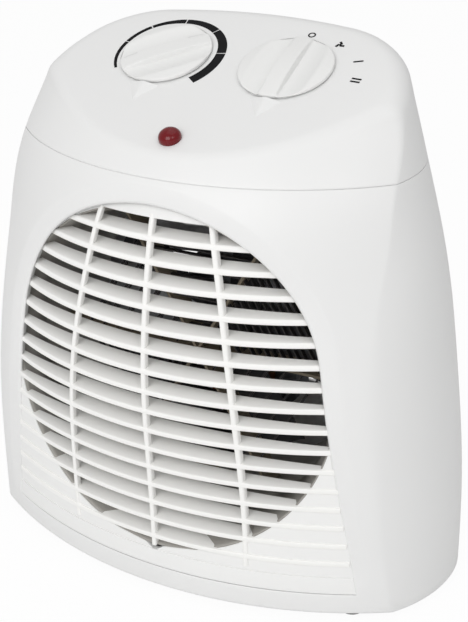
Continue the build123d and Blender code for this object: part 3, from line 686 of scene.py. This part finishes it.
# Cap with the control panel
def panel_edge(u):
    """Where the panel's plane cuts the body: point, surface normal, angle and roll's inner end."""
    lo, hi = SEAM_Z, TOP_Z
    for _ in range(40):
        mid = (lo + hi) / 2
        if (Vector(surf(u, mid)) - PANEL_O).dot(PANEL_N) > 0:
            hi = mid
        else:
            lo = mid
    corner, n = Vector(surf(u, hi)), Vector(surf_normal(u, hi))
    inward = (n - PANEL_N * n.dot(PANEL_N)).normalized() * -1
    phi = math.acos(max(-1, min(1, n.dot(PANEL_N))))
    return corner, n, phi, corner + inward * (PANEL_ROLL * math.tan(phi / 2))


def crease_bends(u0, u1, bulge=2.4):
    """Control points that carry the panel's edge round the crease on each side."""
    bends = {}
    for sign in (-1, 1):
        b0, b1 = panel_edge(sign * u0)[3], panel_edge(sign * u1)[3]
        mid = (b0 + b1) / 2
        out = (panel_edge(sign * 0.37)[0] - mid).normalized()
        bends[sign] = b0, mid + out * bulge, b1
    return bends


def cap_column(u, bends, u0, u1):
    """Points of the cap at one place round it, from the seam to near the panel's middle."""
    corner, n, phi, inner = panel_edge(u)
    if u0 < abs(u) < u1:
        t = (abs(u) - u0) / (u1 - u0)
        b0, bc, b1 = bends[1 if u > 0 else -1]
        inner = b0 * (1 - t) ** 2 + bc * (2 * t * (1 - t)) + b1 * (t * t)
    down = (Vector(surf(u, corner.z - 1.0)) - corner).normalized()
    foot = corner + down * (PANEL_ROLL * math.tan(phi / 2))
    z0, z1 = SEAM_Z + SEAM_GAP, foot.z
    groove = ((-1.0, 0.3), (-0.02, 0.26), (0.0, 0.14), (0.12, 0.03))
    col = [Vector(surf(u, z0 + up)) - n * back for up, back in groove]
    for z in np.linspace(z0 + 0.7, z1, 13):
        t = (z - z0) / max(z1 - z0, 1e-6)
        straight = corner + down * ((corner.z - z) / max(-down.z, 1e-6))
        k = max(0.0, (t - 0.75) / 0.25)
        col.append(Vector(surf(u, z)).lerp(straight, k * k))
    w = math.cos(phi / 2)
    for t in np.linspace(0, 1, 11)[1:]:
        share = (1 - t) ** 2 + 2 * w * t * (1 - t) + t * t
        col.append((foot * (1 - t) ** 2 + corner * (2 * w * t * (1 - t)) + inner * t * t) / share)
    middle = Vector(on_panel(0, 0, 0))
    col += [inner.lerp(middle, t) for t in np.linspace(0, 1, 9)[1:-1]]
    return col


def top_cover():
    """Cap with its sloping panel."""
    count, u0, u1 = 220, 0.29, 0.47
    bends = crease_bends(u0, u1)
    cols = [cap_column(-1 + 2 * k / count, bends, u0, u1) for k in range(count)]
    rows = len(cols[0])
    verts = [tuple(p) for col in cols for p in col] + [on_panel(0, 0, 0)]
    centre = len(verts) - 1
    faces = []
    for k in range(count):
        a, b = k * rows, (k + 1) % count * rows
        faces += [(a + i, b + i, b + i + 1, a + i + 1) for i in range(rows - 1)]
        faces.append((a + rows - 1, b + rows - 1, centre))
    ob = add_mesh("cap", verts, faces, WHITE)
    solidify(ob, WALL)
    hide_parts("top_cover")


def beak(name, x):
    """Small pointed ridge in front of a knob."""
    length, half_w, high, rows, cols = 10.5, 7.2, 1.6, 9, 13
    verts = []
    for t in np.linspace(0, 1, rows):
        half, ridge = half_w * (1 - t) + 0.05, high * (1 - t) ** 0.8 + 0.02
        for s in np.linspace(-1, 1, cols):
            w = ridge * (1 - abs(s) ** 1.15) - 0.15 * abs(s) ** 6
            verts.append(on_panel(x + half * s, -(KNOB_R + 0.7) - length * t, w))
    faces = [(r * cols + c, r * cols + c + 1, (r + 1) * cols + c + 1, (r + 1) * cols + c)
             for r in range(rows - 1) for c in range(cols - 1)]
    faces.append(tuple(range(cols)))
    ob = add_mesh(name, verts, faces, WHITE)
    smooth_by_angle(ob, 40)


# Louvred insert
TOP_SLOT_Z = GRILLE_Z + PITCH * (SLOTS - 1) / 2
LOW_SLOT_Z = TOP_SLOT_Z - PITCH * (SLOTS - 1) - (PITCH - BLADE_T)
INSERT_EDGE = arch_loop(-FIT, 1.5)


def half_width(z):
    """Half of the insert's width at a height."""
    best = 0.0
    for (x0, z0), (x1, z1) in zip(INSERT_EDGE, INSERT_EDGE[1:] + INSERT_EDGE[:1]):
        if (z0 - z) * (z1 - z) <= 0 and abs(z1 - z0) > 1e-9:
            best = max(best, x0 + (x1 - x0) * (z - z0) / (z1 - z0))
    return best


def add_tube(verts, faces, sections):
    """Closed bar through a row of equal sections."""
    base, n = len(verts), len(sections[0])
    last = base + (len(sections) - 1) * n
    for i, section in enumerate(sections):
        verts.extend(section)
        if base + i * n < last:
            faces.extend(ring_faces(base + i * n, base + (i + 1) * n, n))
    faces.append(tuple(range(base, base + n)))
    faces.append(tuple(range(last, last + n)))


def blade(z0):
    """Sections of one blade from its lower edge, deeper in the middle than at its ends."""
    z1 = z0 + BLADE_T
    if lean_at((z0 + z1) / 2) > DEEP_LEAN:
        reach = max(half_width(z0), half_width(z1)) + BLADE_BITE
    else:
        reach = min(half_width(z0), half_width(z1)) - BLADE_END_GAP
    low_r, top_r, top = 1.0, 0.6, 2.7
    nose = [(low_r + low_r * math.cos(a), low_r + low_r * math.sin(a))
            for a in np.linspace(-math.pi / 2, -math.pi, 6)]
    nose += [(top_r + top_r * math.cos(a), 2.0 + top_r * math.sin(a))
             for a in np.linspace(math.pi, math.pi * 0.56, 6)]
    sections = []
    for x in np.linspace(-reach, reach, 64):
        near = min(abs(x), BLADE_FLAT_X)
        depth = max(arc_y(*BLADE_REAR, near) - arc_y(*BLADE_FRONT, near), BLADE_MIN)
        rise = top + BLADE_RISE * (depth - 0.8)
        tail = [(depth - 0.4, rise), (depth, rise - 0.4), (depth, 0.7), (depth - 0.4, 0.25)]
        sections.append([(x, louvre_y(x, z0 + h) + d, z0 + h) for d, h in nose + tail])
    return sections


def bar(way):
    """Sections of an upright bar: way is 0 in the middle, 1 or -1 at the sides."""
    d, h = BAR_DEPTH, BAR_HALF
    ring = [(0.95, -h), (0.5, -h + 0.12), (0.2, -h + 0.45), (0.12, 0.0), (0.2, h - 0.45),
            (0.5, h - 0.12), (0.95, h), (d, h), (d, -h)]
    sections = []
    for z in np.linspace(GRILLE_Z - BAR_DOWN, GRILLE_Z + BAR_UP, 54):
        t = (z - GRILLE_Z) / (8 * PITCH)
        x = way * (BAR_X - BAR_LEAN * t - BAR_BOW * t * t)
        sections.append([(x + w, louvre_y(x + w, z) + back, z) for back, w in ring])
    return sections


def louvres():
    """Blades and bars."""
    verts, faces = [], []
    for i in range(SLOTS - 1):
        add_tube(verts, faces, blade(TOP_SLOT_Z - PITCH * (i + 1)))
    for way in (0, 1, -1):
        add_tube(verts, faces, bar(way))
    ob = add_mesh("louvres", verts, faces, GRILLE_PAINTED_LIGHT)
    smooth_by_angle(ob, 42)
    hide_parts("front_grille")


def add_skin(verts, faces, loop, back, thick, edge_roll):
    """Plate with an outline in x and z that follows the insert's face."""
    base = len(verts)
    flat, tris = patch(loop, [], [], 4.0)
    n = len(flat)
    fall = roll(edge_distance(loop, flat), edge_roll)
    verts.extend((x, louvre_y(x, z, back + f), z) for (x, z), f in zip(flat, fall))
    verts.extend((x, louvre_y(x, z, back + thick), z) for x, z in flat)
    faces.extend(tuple(base + i for i in f) for f in tris)
    faces.extend(tuple(base + n + i for i in reversed(f)) for f in tris)
    faces.extend((base + a, base + b, base + n + b, base + n + a) for a, b in open_edges(tris))


def add_rim(verts, faces):
    """Flange that closes the way between the insert and the arch's edge."""
    count, gap, width, lip, under = 260, 0.15, 4.0, 2.4, 3.3
    rows = [[], [], []]
    for (x0, z0), (x1, z1) in zip(arch_fixed(-gap, count), arch_fixed(width, count)):
        face = louvre_y(x0, z0, 0.1 if lean_at(z0) > DEEP_LEAN else 0.8)
        rows[0].append((x0, face + lip, z0))
        rows[1].append((x0, face, z0))
        rows[2].append((x1, front_y(x1, z1) + max(lean_at(z0), under), z1))
    base = len(verts)
    for i, row in enumerate(rows):
        verts.extend(row)
        if i < 2:
            faces.extend(ring_faces(base + i * count, base + (i + 1) * count, count))


def louvre_field():
    """Closed parts of the insert: beside the round field, above it and below it."""
    verts, faces = [], []
    add_rim(verts, faces)
    zs = np.linspace(LOW_SLOT_Z, TOP_SLOT_Z, 60)
    for way in (1, -1):
        ring = [(way * half_width(z), z) for z in zs]
        for z in zs[::-1]:
            field = math.sqrt(max(FIELD_R ** 2 - (z - GRILLE_Z) ** 2, 1.0))
            ring.append((way * min(field, half_width(z) - 0.15), z))
        add_skin(verts, faces, resample(ring, 3.0), back=0.9, thick=2.0, edge_roll=0.0)
    loop = arch_loop(-FIT)
    for lo, hi in ((TOP_SLOT_Z, TOP_Z), (0, LOW_SLOT_Z)):
        add_skin(verts, faces, cut_band(loop, lo, hi), back=0.0, thick=3.0, edge_roll=0.35)
    ob = add_mesh("louvre_field", verts, faces, FIELD)
    smooth_by_angle(ob, 42)


def duct_mouth():
    """Collar that carries the duct wall forward to the louvres."""
    count, rows, verts, faces = 120, ((75.5, 1.3), (75.2, 3.0), (73.0, 8.0)), [], []
    for radius, back in rows:
        verts += [(x, min(louvre_y(x, z, back), DUCT_FRONT_Y - 1.0 / back), z)
                  for x, z in circle(radius, count, 0.0, GRILLE_Z)]
    verts += [(x, DUCT_FRONT_Y + 0.2, z) for x, z in circle(DUCT_R, count, 0.0, GRILLE_Z)]
    for i in range(len(rows)):
        faces += ring_faces(i * count, (i + 1) * count, count)
    ob = add_mesh("duct_mouth", verts, faces, CAD_LOOKS["duct_grey"])
    solidify(ob, 0.8)


# Knobs, marks and lens
def turned(x, y, turn):
    """Point turned about the origin."""
    c, s = math.cos(turn), math.sin(turn)
    return x * c - y * s, x * s + y * c


def knob_height(x, y):
    """Height of the knob's face: a crown with a scoop on each side of the grip bar."""
    wall = 0.45
    dist = min(math.hypot(x, y), KNOB_R)
    crown = KNOB_RIM + (KNOB_TOP - KNOB_RIM) * (1 - (dist / KNOB_R) ** 2)
    across = min(abs(abs(x) - SCOOP_X), SCOOP_R)
    scoop = min(SCOOP_FLOOR + SCOOP_R - math.sqrt(SCOOP_R ** 2 - across ** 2), crown)
    t = min(max((abs(x) - GRIP_HALF + wall) / (2 * wall), 0.0), 1.0)
    t = t * t * (3 - 2 * t)
    return crown + (scoop - crown) * t - roll(KNOB_R - dist, 0.5)


def knob(name, x0, turn, body, node):
    """Low disc whose two scoops leave a grip bar between them."""
    bars = [resample([(-d, -GRIP_END), (d, -GRIP_END), (d, GRIP_END), (-d, GRIP_END)], 0.9)
            for d in (GRIP_HALF + e for e in (-0.45, -0.2, -0.05, 0.08, 0.2, 0.4, 0.8))]
    rings = [circle(KNOB_R - d, 140) for d in (0.1, 0.25, 0.5, 0.8)]
    pts, faces = patch(circle(KNOB_R, 140), [], rings + bars, 0.95)

    def place(x, y, w):
        px, py = turned(x, y, turn)
        return on_panel(x0 + px, py, w)

    verts = [place(x, y, knob_height(x, y)) for x, y in pts]
    last = loop = boundary(faces)
    for inset, w in ((0.0, 1.1), (0.0, 0.75), (0.2, 0.55), (2.0, 0.55), (2.2, 0.75)):
        ring = list(range(len(verts), len(verts) + len(loop)))
        k = (KNOB_R - inset) / KNOB_R
        verts += [place(pts[i][0] * k, pts[i][1] * k, w) for i in loop]
        faces += [(last[i - 1], last[i], ring[i], ring[i - 1]) for i in range(len(loop))]
        last = ring
    faces.append(tuple(last))
    ob = add_mesh(name, verts, faces, KNOB, body)
    smooth_by_angle(ob, 50)
    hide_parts(node)


def spindle(name, x0, turn, length, body, node):
    """D-shaped spindle that ends under the knob's face."""
    flat = math.acos(0.5)
    ends = math.pi / 2 + flat, math.pi / 2 - flat + 2 * math.pi
    arc = [turned(SPINDLE_R * math.cos(t), SPINDLE_R * math.sin(t), turn)
           for t in np.linspace(*ends, 40)]
    n = len(arc)
    verts = [on_panel(x0 + k * px, k * py, w)
             for k, w in ((1.0, -length), (1.0, 0.55), (0.93, 0.7)) for px, py in arc]
    faces = ring_faces(0, n, n) + ring_faces(n, 2 * n, n)
    faces += [tuple(range(n)), tuple(range(2 * n, 3 * n))]
    ob = add_mesh(name, verts, faces, CAD_LOOKS["spindle_nylon"], body)
    smooth_by_angle(ob, 35)
    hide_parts(node)


def dial_print():
    """Printed marks on the panel: the widening arc, O, fan, I and II."""
    verts, faces = [], []

    def strip(inner, outer, closed=False):
        base, n = len(verts), len(inner)
        for w in PRINT_HEIGHTS:
            verts.extend(on_panel(x, v, w) for x, v in inner)
            verts.extend(on_panel(x, v, w) for x, v in outer)
        low, low_out, top, top_out = (base + k * n for k in range(4))
        for i in range(n if closed else n - 1):
            j = (i + 1) % n
            faces.append((top + i, top + j, top_out + j, top_out + i))
            faces.append((low + i, low + j, top + j, top + i))
            faces.append((low_out + j, low_out + i, top_out + i, top_out + j))
        if not closed:
            faces.extend((low + i, low_out + i, top_out + i, top + i) for i in (0, n - 1))

    def ring(x, v, inner, outer):
        strip(circle(inner, 40, x, v), circle(outer, 40, x, v), True)

    def dash(x, v, length, width, turn):
        pts = [turned(a, b, turn) for b in (-width / 2, width / 2)
               for a in (-length / 2, length / 2)]
        pts = [(x + a, v + b) for a, b in pts]
        strip(pts[:2], pts[2:])

    # Arc in six pieces with gaps between them, in degrees, that narrows along its way
    arc_x, arc_v, arc_r, gap = -27.6, 0.7, 21.6, 0.6
    stops = (-38.5, 10.3, 52.5, 95.3, 133.8, 167.7, 216.0)
    for a0, a1 in zip(stops, stops[1:]):
        at = np.linspace(a0 + gap * (a0 > stops[0]), a1 - gap * (a1 < stops[-1]), 16)
        width = np.interp(at, (stops[0], 25.0, 113.0, stops[-1]), (4.6, 3.9, 2.5, 1.15))
        ways = [(math.cos(a), math.sin(a)) for a in np.radians(at)]
        strip([(arc_x + arc_r * c, arc_v + arc_r * s) for c, s in ways],
              [(arc_x + (arc_r + w) * c, arc_v + (arc_r + w) * s) for (c, s), w in zip(ways, width)])
    off, fan, low, high = (28.8, 23.6), (43.0, 19.2), (54.4, 10.0), ((57.9, -0.9), (57.8, -2.7))
    blade_at, blade_turn = 1.15, math.radians(35)
    ring(*off, 1.05, 1.65)
    ring(*fan, 0.02, 0.55)
    for k in range(3):
        a = math.radians(120 * k + 90)
        x, v = fan[0] + blade_at * math.cos(a), fan[1] + blade_at * math.sin(a)
        dash(x, v, 1.9, 1.0, a + blade_turn)
    dash(*low, 4.0, 0.8, math.radians(20))
    for mark in high:
        dash(*mark, 4.0, 0.85, math.radians(-3))
    ob = add_mesh("dial_print", verts, faces, PRINT, smooth=False)
    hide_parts("dial_marks")


def pilot_lens():
    """Domed lens with its stem."""
    straight, stem_r = 1.0, 3.8
    profile = [(stem_r, -2.0), (stem_r, 0.02), (LENS_R - 0.1, 0.02), (LENS_R, 0.15)]
    for a in np.linspace(0.0, 0.97, 14) * (math.pi / 2):
        profile.append((LENS_R * math.cos(a), straight + (LENS_H - straight) * math.sin(a)))
    verts, faces = lathe(profile, 56)
    ob = add_mesh("pilot_dome", [on_panel(a, LENS_V + b, w) for a, b, w in verts], faces, LENS)
    smooth_by_angle(ob, 50)
    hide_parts("pilot_lens")


dial_print()
front_housing()
base_plate("base_front", -FAR_Y, SPLIT_Y - BASE_GAP)
rear_cover()
screw_wells()
inlet_pad()
base_plate("base_back", SPLIT_Y + BASE_GAP, FAR_Y)
top_cover()
beak("beak_left", -KNOB_X)
beak("beak_right", KNOB_X)
louvres()
louvre_field()
duct_mouth()
knob("thermostat_dial", -KNOB_X, KNOB_REST, "thermostat", "thermostat_knob")
knob("mode_dial", KNOB_X, 0.0, "mode", "mode_knob")
spindle("thermostat_stem", -KNOB_X, KNOB_REST, 11.0, "thermostat", "thermostat_spindle")
spindle("mode_stem", KNOB_X, 0.0, 13.0, "mode", "switch_spindle")
pilot_lens()


# Stage, light and camera
def camera_mix(nt, seen, unseen, share, target):
    """Shader that camera rays see in part as one thing and all other rays as another."""
    ray = nt.nodes.new("ShaderNodeLightPath")
    part = nt.nodes.new("ShaderNodeMath")
    part.operation = "MULTIPLY"
    part.inputs[1].default_value = share
    blend = nt.nodes.new("ShaderNodeMixShader")
    nt.links.new(ray.outputs["Is Camera Ray"], part.inputs[0])
    nt.links.new(part.outputs["Value"], blend.inputs["Fac"])
    nt.links.new(unseen, blend.inputs[1])
    nt.links.new(seen, blend.inputs[2])
    nt.links.new(blend.outputs["Shader"], target)


def pale_floor():
    """Plain floor whose shadows camera rays see only faintly."""
    bpy.ops.mesh.primitive_plane_add(size=6.0, location=(0, 0, 0))
    floor = bpy.context.object
    floor.name = "floor"
    m = bpy.data.materials.new("floor_pale")
    m.use_nodes = True
    nt = m.node_tree
    bsdf = nt.nodes["Principled BSDF"]
    bsdf.inputs["Roughness"].default_value = 0.9
    bsdf.inputs["Specular IOR Level"].default_value = 0.1
    place = nt.nodes.new("ShaderNodeTexCoord")
    noise = nt.nodes.new("ShaderNodeTexNoise")
    noise.inputs["Scale"].default_value = 4.0
    ramp = nt.nodes.new("ShaderNodeValToRGB")
    ramp.color_ramp.elements[0].color = (0.90, 0.90, 0.90, 1)
    ramp.color_ramp.elements[1].color = (0.92, 0.92, 0.92, 1)
    nt.links.new(place.outputs["Object"], noise.inputs["Vector"])
    nt.links.new(noise.outputs["Fac"], ramp.inputs["Fac"])
    nt.links.new(ramp.outputs["Color"], bsdf.inputs["Base Color"])
    glow = nt.nodes.new("ShaderNodeEmission")
    glow.inputs["Color"].default_value = (1, 1, 1, 1)
    glow.inputs["Strength"].default_value = 1.0
    camera_mix(nt, glow.outputs["Emission"], bsdf.outputs["BSDF"], 0.95,
               nt.nodes["Material Output"].inputs["Surface"])
    floor.data.materials.append(m)


def studio_world():
    """Even white surround, brighter to the camera than to the object."""
    world = bpy.data.worlds.new("studio")
    bpy.context.scene.world = world
    world.use_nodes = True
    nt = world.node_tree
    light = nt.nodes["Background"]
    seen = nt.nodes.new("ShaderNodeBackground")
    for node, strength in ((light, 0.555), (seen, 0.97)):
        node.inputs["Color"].default_value = (1, 1, 1, 1)
        node.inputs["Strength"].default_value = strength
    camera_mix(nt, seen.outputs["Background"], light.outputs["Background"], 1.0,
               nt.nodes["World Output"].inputs["Surface"])


def area(name, place, target, size, power):
    """Square area light that faces a point, in metres and watts."""
    data = bpy.data.lights.new(name, "AREA")
    data.shape = "RECTANGLE"
    data.size = data.size_y = size
    data.energy = power
    ob = bpy.data.objects.new(name, data)
    bpy.context.scene.collection.objects.link(ob)
    ob.location = place
    ob.rotation_euler = (Vector(target) - Vector(place)).to_track_quat("-Z", "Y").to_euler()


def photo_camera():
    """Camera at the photograph's place, aim and focal length."""
    place, target = Vector((230.8, -433.7, 337.9)), Vector((40.9, -63.0, 145.5))
    focal_pixels, image_height, sensor = 1234.3, 622, 36.0
    data = bpy.data.cameras.new("camera")
    ob = bpy.data.objects.new("camera", data)
    bpy.context.scene.collection.objects.link(ob)
    ob.location = place * MM
    ob.rotation_euler = (target - place).normalized().to_track_quat("-Z", "Y").to_euler()
    data.sensor_fit = "VERTICAL"
    data.sensor_height = sensor
    data.lens = focal_pixels / image_height * sensor
    bpy.context.scene.camera = ob


pale_floor()
studio_world()
area("key", (0.03, -1.3, 0.9), (0, 0, 0.12), 0.9, 8.4)
area("fill", (0.95, -0.75, 1.05), (0, 0, 0.12), 0.5, 2.0)
area("top", (0.0, 0.1, 1.3), (0, 0, 0.2), 1.0, 1.6)
photo_camera()
bpy.context.scene.view_settings.view_transform = "Standard"
